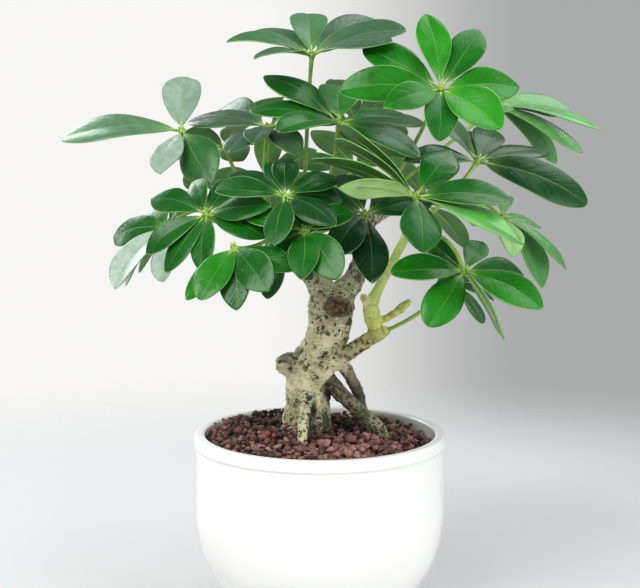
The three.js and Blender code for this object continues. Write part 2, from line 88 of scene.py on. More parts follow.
def blended(share, first, second):
    """A colour between two others, by a share from 0 to 1."""
    sockets = {0: share}
    for socket, colour in ((6, first), (7, second)):
        sockets[socket] = (*colour, 1) if isinstance(colour, tuple) else colour
    return add_node(share.id_data, "Mix", sockets, data_type="RGBA").outputs[2]


def stepped(value, low, high, start=0.0, end=1.0):
    """A value's smooth step from start, at low, to end, at high, whichever is the larger."""
    if low > high:
        low, high, start, end = high, low, end, start
    node = add_node(value.id_data, "MapRange", {"Value": value, "From Min": low, "From Max": high,
                    "To Min": start, "To Max": end}, interpolation_type="SMOOTHSTEP")
    return node.outputs["Result"]


floor_mesh = bmesh.new()
bmesh.ops.create_circle(floor_mesh, cap_ends=True, segments=96, radius=FLOOR_RADIUS)
floor_data = bpy.data.meshes.new("floor")
floor_mesh.to_mesh(floor_data)
floor_mesh.free()
floor = bpy.data.objects.new("floor", floor_data)
bpy.context.collection.objects.link(floor)
pale_floor, tree, shader, place = new_finish("pale_floor")
patches = add_node(tree, "TexNoise", {"Vector": place, "Scale": 3.0, "Detail": 2.0})
pale = blended(patches.outputs["Fac"], (0.555, 0.56, 0.565), (0.595, 0.595, 0.595))
give(shader, "Base Color", pale)
give(shader, "Roughness", 0.55)
distance = add_node(tree, "VectorMath", {0: place}, operation="LENGTH").outputs["Value"]
give(shader, "Alpha", stepped(distance, FADE_START, FADE_END, 1.0, 0.0))
floor_data.materials.append(pale_floor)

world = bpy.data.worlds.new("room_air")
bpy.context.scene.world = world
world.use_nodes = True
air = world.node_tree
side = add_node(air, "SeparateXYZ", {"Vector": add_node(air, "TexCoord").outputs["Generated"]})
glow = blended(stepped(side.outputs["X"], -0.04, 0.13), (0.93, 0.925, 0.915),
               (0.44, 0.445, 0.445))
glow = blended(stepped(side.outputs["Z"], 0.06, 0.4), glow, (0.30, 0.31, 0.32))
give(air.nodes["Background"], "Color", glow)

for name, spot, target, width, power, colour in LAMPS:
    lamp = bpy.data.lights.new(name, "AREA")
    lamp.size = width * MM
    lamp.energy = power
    lamp.color = colour
    holder = bpy.data.objects.new(name, lamp)
    holder.location = Vector(spot) * MM
    holder.rotation_euler = (Vector(target) - Vector(spot)).to_track_quat("-Z", "Y").to_euler()
    bpy.context.collection.objects.link(holder)

camera_data = bpy.data.cameras.new("camera")
camera_data.lens = 90
camera_data.sensor_width = 36
camera_data.clip_start = 0.05
camera = bpy.data.objects.new("camera", camera_data)
camera.location = Vector(CAMERA_PLACE) * MM
camera.rotation_euler = (math.radians(90 - CAMERA_TIP), 0, 0)
bpy.context.collection.objects.link(camera)
bpy.context.scene.camera = camera
bpy.context.scene.view_settings.view_transform = "Standard"
bpy.context.scene.view_settings.gamma = 0.9


# --- The pot ------------------------------------------------------------------------
# A thrown bowl of white glazed earthenware, with a plain band proud at the rim and a
# low foot. It was turned, dipped in glaze, and stood on its bare foot ring to be fired.
POT_PROFILE = [  # radius and height, from the middle of the underside out and back in
    (0, 1.4), (38, 1.4), (40.5, 1.0), (41.5, 0), (46, 0), (47.6, 0.7), (55.5, 5.2), (64, 15),
    (71.3, 28), (76.3, 41), (79.2, 57), (79.0, 80), (78.6, 98), (78.5, 106.4), (79.0, 107.3),
    (79.9, 107.9), (80, 109), (80, 112.6), (79.4, 114.4), (78, 115), (74.6, 115), (73.2, 114.6),
    (72.6, 113.2), (72.5, 104), (72.5, 90), (71.8, 58), (69.6, 46), (61.8, 24.6), (44, 8.4), (0, 8),
]
FOOT_RING = 0.0009  # below this height the clay is bare


def add_ripple_group():
    """Slow patches and a fine grain, for any finish that isn't quite even."""
    group = bpy.data.node_groups.new("uneven_surface", "ShaderNodeTree")
    for label, kind in (("Vector", "Vector"), ("Patch Scale", "Float"), ("Grain Scale", "Float")):
        group.interface.new_socket(label, in_out="INPUT", socket_type="NodeSocket" + kind)
    for label in ("Patches", "Grain"):
        group.interface.new_socket(label, in_out="OUTPUT", socket_type="NodeSocketFloat")
    given = group.nodes.new("NodeGroupInput").outputs
    result = group.nodes.new("NodeGroupOutput").inputs
    patch = add_node(group, "TexNoise", {"Vector": given["Vector"], "Scale": given["Patch Scale"],
                     "Detail": 3.0, "Roughness": 0.6})
    grain = add_node(group, "TexNoise", {"Vector": given["Vector"], "Scale": given["Grain Scale"],
                     "Detail": 4.0, "Roughness": 0.65})
    group.links.new(stepped(patch.outputs["Fac"], 0.3, 0.7), result["Patches"])
    group.links.new(grain.outputs["Fac"], result["Grain"])
    return group


uneven_surface = add_ripple_group()


def uneven(place, patch_scale, grain_scale):
    """Places the shared group in a finish and gives its patches and its grain."""
    node = add_node(place.id_data, "Group", node_tree=uneven_surface)
    for socket, value in (("Vector", place), ("Patch Scale", patch_scale), ("Grain Scale", grain_scale)):
        give(node, socket, value)
    return node.outputs["Patches"], node.outputs["Grain"]


def roughen(shader, height, depth, strength):
    """Lets a height in the finish shade the surface, by a depth in metres."""
    bump = add_node(height.id_data, "Bump", {"Height": height, "Distance": depth, "Strength": strength})
    give(shader, "Normal", bump.outputs["Normal"])


def height_of(place):
    """The height of a point in a finish, in metres."""
    return add_node(place.id_data, "SeparateXYZ", {"Vector": place}).outputs["Z"]


def resize(drawn, factor):
    """Scales a mesh about the origin."""
    bmesh.ops.scale(drawn, vec=(factor,) * 3, verts=drawn.verts)


def finished(drawn, name, *finishes):
    """Turns a piece drawn in millimetres into an object in metres, smooth all over."""
    resize(drawn, MM)
    for face in drawn.faces:
        face.smooth = True
    mesh = bpy.data.meshes.new(name)
    drawn.to_mesh(mesh)
    drawn.free()
    for finish in finishes:
        mesh.materials.append(finish)
    piece = bpy.data.objects.new(name, mesh)
    bpy.context.collection.objects.link(piece)
    return piece


def turned(profile, steps):
    """A body turned round the pot's axis from its profile, closed at both poles."""
    drawn = bmesh.new()
    corners = [drawn.verts.new((radius, 0, height)) for radius, height in profile]
    edges = [drawn.edges.new(pair) for pair in zip(corners, corners[1:])]
    bmesh.ops.spin(drawn, geom=corners + edges, axis=(0, 0, 1), cent=(0, 0, 0),
                   angle=math.tau, steps=steps, use_merge=True)
    bmesh.ops.remove_doubles(drawn, verts=drawn.verts, dist=0.001)
    bmesh.ops.recalc_face_normals(drawn, faces=drawn.faces)
    return drawn


glaze, tree, shader, place = new_finish("white_glaze")
patches, grain = uneven(place, 14, 900)
glazed = stepped(height_of(place), FOOT_RING, FOOT_RING + 0.0008)
milk = blended(patches, (0.82, 0.825, 0.82), (0.85, 0.85, 0.84))
give(shader, "Base Color", blended(glazed, (0.55, 0.47, 0.38), milk))
give(shader, "Roughness", stepped(glazed, 0, 1, 0.8, 0.16))
give(shader, "Coat Weight", 0.5)
give(shader, "Coat Roughness", 0.06)
roughen(shader, grain, 0.00003, 0.5)

pot = finished(turned(POT_PROFILE, 64), "glazed_pot", glaze)
rounded = pot.modifiers.new("rounded", "SUBSURF")
rounded.levels = rounded.render_levels = 2
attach(pot, "root")
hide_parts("pot")


# --- The soil -----------------------------------------------------------------------
# Dark potting soil that fills the pot under the gravel. The frame's own solid is kept,
# with the holes that the trunk and the roots stand in.
potting_soil, tree, shader, place = new_finish("potting_soil")
patches, grain = uneven(place, 90, 700)
crumbs = blended(patches, (0.020, 0.012, 0.008), (0.055, 0.034, 0.022))
give(shader, "Base Color", blended(stepped(grain, 0.62, 0.72), crumbs, (0.16, 0.11, 0.07)))
give(shader, "Roughness", 0.95)
roughen(shader, grain, 0.0012, 0.9)
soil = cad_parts["soil"]
soil.data.materials.clear()
soil.data.materials.append(potting_soil)


# --- The trunk ----------------------------------------------------------------------
# One piece of living wood: roots that stand clear of the gravel, a thick pitted trunk, a
# burl, the stump of a sawn branch and the bare woody branches that carry the fronds.
BARK_GRAIN = 0.9  # size of the mesh's faces
BARK_SOFTENING = 11  # passes that round the corners
SAWN_END = Vector((11, -6.4, 195.8))
SAWN_FACING = Vector((0, -1, 0.14)).normalized()
SAWN_RADIUS = 7.4
SAWN_SQUASH = 1.25  # the cut is wider than it is tall
SAWN_SINK = 2.2  # how far the old cut lies below its ring of bark
LOWER_LINE = Vector((-7, 14))  # the trunk's middle in plan, below the bend and above it
UPPER_LINE = Vector((-2, 12))
BEND_HEIGHT = 150
TRUNK_REACH = 34  # how far from its middle a point still counts as the trunk's
PIT_COUNT = 330
PITTED_HEIGHT = 165  # where the pits are largest, and how far above and below they shrink
PITTED_REACH = 85
PITTED_PLACES = [  # the middles and reaches of the places with most pits
    ((14, 2, 168), 18), ((-2, 2, 157), 14), ((-13, 4, 160), 13), ((-4, 2, 204), 26),
    ((20, 4, 190), 16), ((-17, 2, 124), 20), ((24, 8, 166), 10), ((26, 10, 215), 24),
    ((6, -2, 184), 12), ((4, 0, 138), 10), ((-21, 5, 161), 12),
]
ROOT_LINES = [  # two ends of a blotched root, how far it reaches, and how brown it is
    ((-9, -6, 137), (-12, -40, 108), 9, 0.0), ((9, 7, 142), (50, -10, 106), 12, 0.85),
    ((0, -6, 128), (0, -14, 104), 9, 0.3),
]
MOSS_PLACES = [((-1, -8, 114), 15), ((6, 4, 122), 15), ((26, 0, 125), 12), ((44, -8, 113), 11)]
# Bark that lies in a crevice is painted dark, as shade.
CREVICE_REACH = 4.0  # bark with other bark this far in front of it lies in a crevice
BURL_MIDDLE = Vector((-21, 12, 163))
BURL_NOTCH = Vector((-14, 7, 166.5))
KNUCKLE_MIDDLE = Vector((37, 0, 180))
SIDE_BRANCH = Vector((34, 2, 175))
FAR_ROOT = Vector((27, 22, 135))
WEATHERED_HEIGHT = 200  # above it the bark is grey
bark_random = random.Random(11)


def shape_in_frame(node):
    """A node of the frame as a mesh whose faces are joined, in millimetres."""
    shape = bmesh.new()
    shape.from_mesh(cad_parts[node].data)
    bmesh.ops.remove_doubles(shape, verts=shape.verts, dist=1e-6)
    resize(shape, 1 / MM)
    return shape


wood = shape_in_frame("trunk")
wood_shape = BVHTree.FromBMesh(wood)


def settle(piece):
    """Works a piece's modifiers into its mesh."""
    shaped = piece.evaluated_get(bpy.context.evaluated_depsgraph_get())
    mesh = bpy.data.meshes.new_from_object(shaped)
    mesh.name = piece.name
    piece.modifiers.clear()
    piece.data = mesh


def even_out(piece, grain, passes):
    """Gives a piece an even mesh of a grain in millimetres, and rounds its corners."""
    remesh = piece.modifiers.new("even_mesh", "REMESH")
    remesh.mode = "VOXEL"
    remesh.voxel_size = grain * MM
    remesh.use_smooth_shade = True
    soften = piece.modifiers.new("soft_corners", "SMOOTH")
    soften.factor = 0.5
    soften.iterations = passes
    settle(piece)


def near(value, middle, reach):
    """1 at the middle, falling smoothly to 0 at the reach."""
    share = min(abs(value - middle) / reach, 1)
    return 1 - share * share * (3 - 2 * share)


def worked(operation, first, second=0.0):
    """The result of one sum or other operation on values."""
    return add_node(first.id_data, "Math", {0: first, 1: second}, operation=operation).outputs[0]


def times(first, second):
    """The product of two values."""
    return worked("MULTIPLY", first, second)


def weighted(*terms):
    """The sum of values, each times its weight."""
    total = times(*terms[0])
    for value, weight in terms[1:]:
        total = worked("ADD", total, times(value, weight))
    return total


def noisy(place, scale, detail=4.0, roughness=0.7):
    """The values of one noise texture."""
    node = add_node(place.id_data, "TexNoise", {"Vector": place, "Scale": scale, "Detail": detail,
                    "Roughness": roughness})
    return node.outputs["Fac"]


def two_tone(value, low, high, first, second):
    """A colour that goes from the first to the second while a value goes from low to high."""
    return blended(stepped(value, low, high), first, second)


def layered(skin, layers):
    """A colour with others laid over it in turn, each with the share that it covers."""
    for share, colour in layers:
        skin = blended(share, skin, colour)
    return skin


def marked(tree, name):
    """A value that is written on the mesh's points."""
    return add_node(tree, "Attribute", attribute_name=name).outputs["Fac"]


def painted(tree, name):
    """The red, green, blue and alpha shares of a colour painted on the mesh's points."""
    paint = add_node(tree, "Attribute", attribute_name=name)
    shares = add_node(tree, "SeparateColor", {"Color": paint.outputs["Color"]}).outputs
    return shares["Red"], shares["Green"], shares["Blue"], paint.outputs["Alpha"]


bark, tree, shader, place = new_finish("pale_bark")
pits_and_crevice_shade, mossy, cut, young = painted(tree, "marks")
rough, twiggy, greenish, rooty = painted(tree, "shades")
patches, grain = uneven(place, 70, 900)
stretched = add_node(tree, "Mapping", {"Vector": place, "Scale": (1, 1, 2.6)}).outputs[0]
streaks = noisy(stretched, 260.0, 5.0)
mottle = noisy(place, 330.0)
wobble = add_node(tree, "TexNoise", {"Vector": place, "Scale": 420.0, "Detail": 2.0}).outputs["Color"]
ragged = add_node(tree, "VectorMath", {0: wobble, 1: (0.0022,) * 3, 2: place},
                  operation="MULTIPLY_ADD").outputs[0]
skin = blended(patches, (0.58, 0.53, 0.32), (0.88, 0.83, 0.59))
crowding_and_side_shade = worked("ADD", marked(tree, "crowding_and_side_shade"), stepped(noisy(place, 75.0, 2.0), 0.42, 0.62, 0.0, 0.5))
# Grey high up, streaked, and browner in the crowded places and at the trunk's sides, where the brown is
# painted shade.
skin = layered(skin, [
    (stepped(height_of(place), 0.176, 0.204, 0.0, 0.42), (0.33, 0.30, 0.23)),
    (stepped(streaks, 0.55, 0.68), (0.19, 0.155, 0.085)),
    (stepped(streaks, 0.45, 0.36), (0.92, 0.88, 0.68)),
    (stepped(crowding_and_side_shade, 0.3, 1.3, 0.0, 0.32), (0.27, 0.215, 0.10)),
])
for pit_scale, pit_reach in ((150.0, 0.50), (290.0, 0.62), (520.0, 0.66)):
    pits = add_node(tree, "TexVoronoi", {"Vector": ragged, "Scale": pit_scale})
    chance = add_node(tree, "SeparateColor", {"Color": pits.outputs["Color"]}).outputs
    reach = stepped(crowding_and_side_shade, 0.0, 1.0, 0.10, pit_reach)
    reach = times(worked("POWER", chance["Red"], 1.8), reach)
    speck = stepped(worked("SUBTRACT", pits.outputs["Distance"], reach), 0.03, -0.07)
    speck = times(speck, stepped(chance["Green"], 0.0, 0.7, 0.5, 1.0))
    pits_and_crevice_shade = worked("MAXIMUM", pits_and_crevice_shade, speck)
root_skin = noisy(ragged, 380.0, 3.0)
root_skin = two_tone(root_skin, 0.45, 0.52, (0.045, 0.040, 0.026), (0.66, 0.64, 0.44))
mossy = stepped(weighted((mossy, 1), (streaks, 0.9)), 0.78, 1.05)
skin = layered(skin, [
    (rooty, root_skin),
    (rough, two_tone(mottle, 0.42, 0.58, (0.040, 0.030, 0.022), (0.46, 0.43, 0.34))),
    (twiggy, two_tone(mottle, 0.38, 0.60, (0.040, 0.032, 0.022), (0.15, 0.12, 0.08))),
    (greenish, two_tone(mottle, 0.48, 0.60, (0.64, 0.60, 0.28), (0.17, 0.12, 0.06))),
    # Dark pits, the dark notch, and painted shade in the crevices between the roots.
    (times(pits_and_crevice_shade, 0.88), (0.040, 0.030, 0.016)),
    (mossy, two_tone(grain, 0.40, 0.65, (0.040, 0.058, 0.022), (0.23, 0.27, 0.115))),
    (young, two_tone(mottle, 0.40, 0.56, (0.34, 0.30, 0.07), (0.62, 0.70, 0.22))),
    (cut, two_tone(mottle, 0.42, 0.62, (0.060, 0.034, 0.016), (0.30, 0.20, 0.105))),
])
give(shader, "Base Color", skin)
give(shader, "Roughness", stepped(patches, 0, 1, 0.85, 0.7))
roughen(shader, weighted((streaks, 1), (pits_and_crevice_shade, -0.6), (grain, 0.5)), 0.0010, 0.85)

trunk = finished(wood, "rooted_trunk", bark)
even_out(trunk, BARK_GRAIN, BARK_SOFTENING)
points = trunk.data.vertices
pit_tree = KDTree(PIT_COUNT)
pit_sizes = []
while len(pit_sizes) < PIT_COUNT:
    spot = points[bark_random.randrange(len(points))].co / MM
    thick = near(spot.z, PITTED_HEIGHT, PITTED_REACH)
    if bark_random.random() < 0.25 + 0.75 * thick:
        pit_tree.insert(spot, len(pit_sizes))
        pit_sizes.append(bark_random.uniform(0.8, 1.3) + 1.1 * bark_random.random() ** 3 * thick)
pit_tree.balance()
values = {"marks": [], "shades": [], "crowding_and_side_shade": []}
pushes = []
for point in points:
    spot = point.co / MM
    facing = point.normal

    # The bark swells slowly on the trunk, has shorter ripples, and is a little rough all over.
    line = UPPER_LINE if spot.z > BEND_HEIGHT else LOWER_LINE
    on_trunk = near((spot.xy - line).length, 0, TRUNK_REACH) * near(spot.z, 130, 110)
    push = 0.15 + 1.7 * on_trunk * noise.noise(spot * 0.09)
    push += (0.3 + 0.7 * on_trunk) * noise.noise(Vector((spot.x * 0.16, spot.y * 0.16, spot.z * 0.36)))
    push += 0.35 * noise.noise(spot * 0.55)

    # Pits, each with a low rim.
    found, index, distance = pit_tree.find(spot)
    size = pit_sizes[index]
    pit_and_crevice_shade = near(distance, 0, size * 1.15)
    push += 0.35 * near(distance, size * 1.3, size * 0.6) - 0.75 * size * pit_and_crevice_shade
    pit_and_crevice_shade = 0.8 * pit_and_crevice_shade ** 2

    # The old saw cut, sunk and rough inside a swollen ring.
    across = spot - SAWN_END
    depth = across.dot(SAWN_FACING)
    across -= SAWN_FACING * depth
    across.z *= SAWN_SQUASH
    off = across.length + 1.3 * noise.noise(across * 0.22)
    sawn_share = 0.0
    if -6 < depth < 4 and off < SAWN_RADIUS + 4:
        ring = near(off, SAWN_RADIUS + 0.4, 2.6)
        push += (0.8 + 1.2 * noise.noise(spot * 0.4)) * ring * near(depth, 0, 6)
        if depth > -2.2 and off < SAWN_RADIUS:
            sawn_share = min(1.0, (SAWN_RADIUS - off) / 1.2)
            push += -SAWN_SINK * sawn_share + 0.8 * noise.noise(spot * 0.5)
            pit_and_crevice_shade = 0
        pit_and_crevice_shade = max(pit_and_crevice_shade, near(off, SAWN_RADIUS + 0.1, 1.7) * near(depth, 0, 5))

    # The lumpy burl, with a notch over it that is coloured dark, and painted shade in the crevices between
    # the roots.
    on_burl = min(1.6 * near((spot - BURL_MIDDLE).length, 0, 13), 1)
    push += 1.3 * on_burl * noise.noise(spot * 0.27 + Vector((0, 9, 0)))
    notch = near((spot - BURL_NOTCH).length, 0, 5)
    push -= 2.0 * notch
    pushes.append(push)
    room = wood_shape.find_nearest(spot + facing * CREVICE_REACH)[3] / CREVICE_REACH
    crevice = min(1.7 * near(room, 0, 0.95), 1) if spot.z < BEND_HEIGHT else 0
    pit_and_crevice_shade = max(pit_and_crevice_shade, 0.9 * crevice, min(1.5 * notch, 1))

    # What the paint says: pits and painted crevice shade, roots, moss, the young knuckle, grey bark high
    # up, and where pits gather, more at the trunk's sides as painted shade.
    root, brown = 0.0, 0.0
    for upper, lower, reach, brownness in ROOT_LINES:
        nearest, share = geometry.intersect_point_line(spot, Vector(upper), Vector(lower))
        if -0.1 < share < 1.2:
            on_root = min(2 * near((spot - nearest).length, 0, reach), 1)
            root = max(root, on_root)
            brown = max(brown, on_root * brownness * (1 - 0.6 * share))
    damp = max(near((spot - Vector(middle)).length, 0, reach) for middle, reach in MOSS_PLACES)
    moss_share = 0.85 + 0.3 * crevice + 0.7 * noise.noise(spot * 0.14 + Vector((5, 0, 0)))
    young_share = min(1.6 * near((spot - KNUCKLE_MIDDLE).length, 0, 11), 1)
    values["marks"] += [pit_and_crevice_shade * (1 - young_share), damp * moss_share, sawn_share, young_share]
    high = min(max((spot.z - WEATHERED_HEIGHT - 14 * noise.noise(spot * 0.06)) / 20, 0), 1)
    on_twig = max(0.95 * near((spot - FAR_ROOT).length, 0, 50) * (spot.x > 17 and spot.y > 7), brown)
    on_side = near((spot - SIDE_BRANCH).length, 0, 22) * (spot.x > 14 and spot.z > BEND_HEIGHT)
    weather = max(0.85 * high, 0.75 * on_burl) * (1 - on_side)
    values["shades"] += [weather, on_twig, min(1, 1.5 * on_side), root]
    near_pits = sum(near((spot - Vector(middle)).length, 0, reach) for middle, reach in PITTED_PLACES)
    # Pits are crowded in the listed places. Seen from the front, the trunk's left and right sides get
    # browner bark and more pits as painted shade.
    values["crowding_and_side_shade"].append(min(near_pits + 0.25 * abs(facing.x) ** 3, 1))
for point, facing, push in zip(points, [point.normal.copy() for point in points], pushes):
    point.co += facing * push * MM
for name in ("marks", "shades"):
    trunk.data.attributes.new(name, "FLOAT_COLOR", "POINT").data.foreach_set("color", values[name])
trunk.data.attributes.new("crowding_and_side_shade", "FLOAT", "POINT").data.foreach_set("value", values["crowding_and_side_shade"])
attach(trunk, "root")
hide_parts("trunk")


# --- The gravel ---------------------------------------------------------------------
# A loose cover of crushed red lava, heaped round the trunk and a little lower at the back
# right. Every grain is a rough pebble of its own colour, poured over a bed of finer ones whose
# near-black tone is painted shade in the gaps between the grains.
MOUND_RADIUS = 72.5
MOUND_EDGE = 113  # mean height at the wall
MOUND_RISE = 3.5  # how much higher the middle lies
MOUND_DIP = 3.8  # how much lower the right side lies at the wall
WELL_RADIUS = 72.1
BED_BOTTOM = 98.35
BED_SINK = 3.4  # how far the bed of fine grains lies below the cover's mean height
STONE_PITCH = 5.6
ROW_SHARE = 0.87  # the rows lie this share of the pitch apart
STONE_CORNERS = 12
STONE_SPANS = [(0.8, 1.2), (0.75, 1.1), (0.6, 0.9)]  # breadth, depth and height of a stone
LAYERS = [  # height of a layer, size of its stones, share that is left out, and its shift
    (-2.0, 1.0, 0, (0, 0)), (0.9, 0.86, 0.45, (0.4, 0.3)),
]
COARSE_PLACE = ((18, -44), 55)  # middle and reach of the place with the largest stones
OWN_TONES = [((-30, -19), 5, 1.0), ((-30, -46), 4, 0.93)]  # middle, reach and tone of red and pale stones
USUAL_TONE = 0.42
TONE_SPREAD = 0.18
TONE_PLACES = [  # middle and reach of a place, and how much paler or darker its stones are
    # The third place, right of the trunk behind its roots, is darker as painted shadow of the trunk and
    # roots.
    ((18, -48), 52, 0.28), ((-30, 42), 45, -0.22), ((16, 12), 24, -0.32),
]
LAVA_TONES = [
    (0.0, (0.025, 0.020, 0.019)), (0.16, (0.065, 0.043, 0.038)), (0.34, (0.18, 0.105, 0.088)),
    (0.55, (0.31, 0.165, 0.135)), (0.74, (0.48, 0.25, 0.21)), (0.86, (0.60, 0.38, 0.33)),
    (0.94, (0.60, 0.42, 0.36)), (1.0, (0.50, 0.12, 0.10)),
]
gravel_random = random.Random(5)


def mound(x, y):
    """Mean height of the gravel's surface, which leans to the front right a little."""
    x, y = x / MOUND_RADIUS, y / MOUND_RADIUS
    reach = math.hypot(x, y)
    dip = MOUND_DIP * max(0.906 * x + 0.423 * y, 0) ** 2 / max(reach, 0.1)
    return MOUND_EDGE + MOUND_RISE * (1 - reach * reach) - (1.0 * x - 0.8 * y) - dip


def in_wood(spot, margin):
    """True for a point that lies in a root or the trunk, deeper than the margin."""
    found, facing, index, distance = wood_shape.find_nearest(spot)
    return distance > margin and (spot - found).dot(facing) < 0


def toned(tone, tones):
    """The colour that a tone picks from a row of colours, each with its place in the row."""
    ramp = add_node(tone.id_data, "ValToRGB", {"Fac": tone})
    stops = ramp.color_ramp.elements
    for place_in_row, colour in tones[1:-1]:
        stops.new(place_in_row)
    for stop, (place_in_row, colour) in zip(stops, tones):
        stop.position = place_in_row
        stop.color = (*colour, 1)
    return ramp.outputs["Color"]


lava, tree, shader, place = new_finish("crushed_lava")
grain = uneven(place, 260, 1500)[1]
pores = add_node(tree, "TexVoronoi", {"Vector": place, "Scale": 900.0})
pore = stepped(pores.outputs["Distance"], 0.34, 0.18)
lit = blended(stepped(grain, 0.36, 0.62), (0.45, 0.42, 0.42), (1.25, 1.2, 1.18))
rock = add_node(tree, "Mix", {0: 1.0, 6: toned(marked(tree, "tone"), LAVA_TONES), 7: lit},
                data_type="RGBA", blend_type="MULTIPLY").outputs[2]
give(shader, "Base Color", blended(times(pore, 0.6), rock, (0.03, 0.014, 0.012)))
give(shader, "Roughness", 0.92)
roughen(shader, weighted((grain, 1), (pore, -0.5)), 0.0009, 0.9)

bed_profile = [(0, 100), (18, 100), (36, 100), (50, 100), (60, 100), (66, 100), (70, 100),
               (WELL_RADIUS, 100), (WELL_RADIUS, BED_BOTTOM), (0, BED_BOTTOM)]
gravel = turned(bed_profile, 60)
stone_tone = gravel.verts.layers.float.new("tone")
# The bed's near-black tone is painted shade in the gaps between the stones.
for point in gravel.verts:
    point[stone_tone] = 0.1
    if point.co.z > 99:
        point.co.z = mound(point.co.x, point.co.y) - BED_SINK + 0.8 * noise.noise(point.co * 0.2)


def add_stone(middle, size, shade):
    """One pebble: the hull of a few corners thrown round its middle."""
    squash = Vector([gravel_random.uniform(*span) for span in STONE_SPANS])
    turn = Matrix.Rotation(gravel_random.uniform(0, math.tau), 3, "Z")
    corners = []
    for k in range(STONE_CORNERS):
        height = 1 - 2 * (k + 0.5) / STONE_CORNERS
        angle = 2.4 * k + gravel_random.uniform(-0.5, 0.5)
        out = math.sqrt(1 - height * height)
        corner = Vector((out * math.cos(angle), out * math.sin(angle), height)) * squash
        corner = turn @ corner * size * gravel_random.uniform(0.62, 1.16)
        point = gravel.verts.new(middle + corner)
        point[stone_tone] = shade
        corners.append(point)
    hull = bmesh.ops.convex_hull(gravel, input=corners, use_existing_faces=False)
    spare = [item for item in hull["geom_interior"] if isinstance(item, bmesh.types.BMVert)]
    bmesh.ops.delete(gravel, geom=spare, context="VERTS")


def near_place(x, y, middle, reach):
    """1 at the middle of a place on the gravel, falling smoothly to 0 at its reach."""
    return near(math.dist((x, y), middle), 0, reach)


def lava_shade(x, y):
    """Most grains are dull brown, darker at the back left and in a painted shadow by the trunk; a few are
    pale or bright red.
    """
    for middle, reach, own_tone in OWN_TONES:
        if math.dist((x, y), middle) < reach:
            return own_tone
    usual = USUAL_TONE
    for middle, reach, gain in TONE_PLACES:
        usual += gain * near_place(x, y, middle, reach)
    return min(max(gravel_random.gauss(usual, TONE_SPREAD), 0.0), 0.94)


rows = int(WELL_RADIUS / (STONE_PITCH * ROW_SHARE)) + 1
for layer_height, layer_size, left_out, shift in LAYERS:
    for row in range(-rows, rows + 1):
        for column in range(-rows - 2, rows + 3):
            x = (column + 0.5 * (row % 2) + shift[0] + gravel_random.uniform(-0.3, 0.3)) * STONE_PITCH
            y = (row + shift[1] + gravel_random.uniform(-0.3, 0.3)) * STONE_PITCH * ROW_SHARE
            size = gravel_random.uniform(1.9, 3.5) + 2.0 * gravel_random.random() ** 4
            size *= layer_size * (0.82 + 0.25 * near_place(x, y, *COARSE_PLACE))
            if math.hypot(x, y) + size > WELL_RADIUS + 0.4:
                continue
            if left_out and gravel_random.random() < left_out:
                continue
            z = mound(x, y) + layer_height + gravel_random.uniform(-0.6, 0.8)
            if not in_wood(Vector((x, y, z)), 0.8):
                add_stone(Vector((x, y, z)), size, lava_shade(x, y))
gravel_cover = finished(gravel, "gravel_cover", lava)
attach(gravel_cover, "root")
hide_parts("gravel")


# --- The green shoot ----------------------------------------------------------------
# A young soft shoot that sprang from the swollen node of the side branch, with the short
# stub of a pinched twig beside it. Its skin is still green and has the rings of old leaves.
BUD_MIDDLE = (0.0265, -0.012, 0.2015)
SHOOT_RINGS = [(187, 0.5), (193, 0.6), (203, 0.4), (214, 0.3), (228, 0.3), (243, 0.35)]  # height, rise

green_skin, tree, shader, place = new_finish("green_skin")
patches, grain = uneven(place, 120, 1400)
height = height_of(place)
low_down = stepped(height, 0.222, 0.200)
tall = add_node(tree, "Mapping", {"Vector": place, "Scale": (1, 1, 0.22)}).outputs[0]
fibres = noisy(tall, 700.0, 3.0, 0.5)
blots = stepped(noisy(place, 260.0), 0.52, 0.62)
from_bud = add_node(tree, "VectorMath", {0: place, 1: BUD_MIDDLE}, operation="DISTANCE").outputs["Value"]
stem = blended(stepped(height, 0.184, 0.236), (0.56, 0.64, 0.15), (0.42, 0.60, 0.12))
stem = layered(stem, [
    (times(patches, 0.5), (0.74, 0.76, 0.34)),
    (stepped(fibres, 0.55, 0.75, 0, 0.5), (0.22, 0.33, 0.06)),
    (times(blots, times(low_down, 0.6)), (0.34, 0.26, 0.07)),
    (stepped(from_bud, 0.0065, 0.0035), (0.80, 0.78, 0.46)),
    (stepped(from_bud, 0.0026, 0.0014, 0.0, 0.7), (0.40, 0.26, 0.08)),
    (times(stepped(grain, 0.60, 0.70), low_down), (0.22, 0.12, 0.04)),
])
give(shader, "Base Color", stem)
give(shader, "Roughness", stepped(grain, 0.3, 0.7, 0.34, 0.5))
roughen(shader, fibres, 0.0003, 0.5)

young_stem = shape_in_frame("green_shoot")
shoot_shape = BVHTree.FromBMesh(young_stem)
shoot = finished(young_stem, "green_shoot_skin", green_skin)
even_out(shoot, 0.55, 8)
for point in shoot.data.vertices:
    spot = point.co / MM
    push = 0.15 + 0.25 * noise.noise(spot * 0.35)
    for ring_height, rise in SHOOT_RINGS:
        push += rise * near(spot.z + 0.3 * spot.y, ring_height - 2, 1.6)
    point.co += point.normal * push * MM
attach(shoot, "root")
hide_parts("green_shoot")


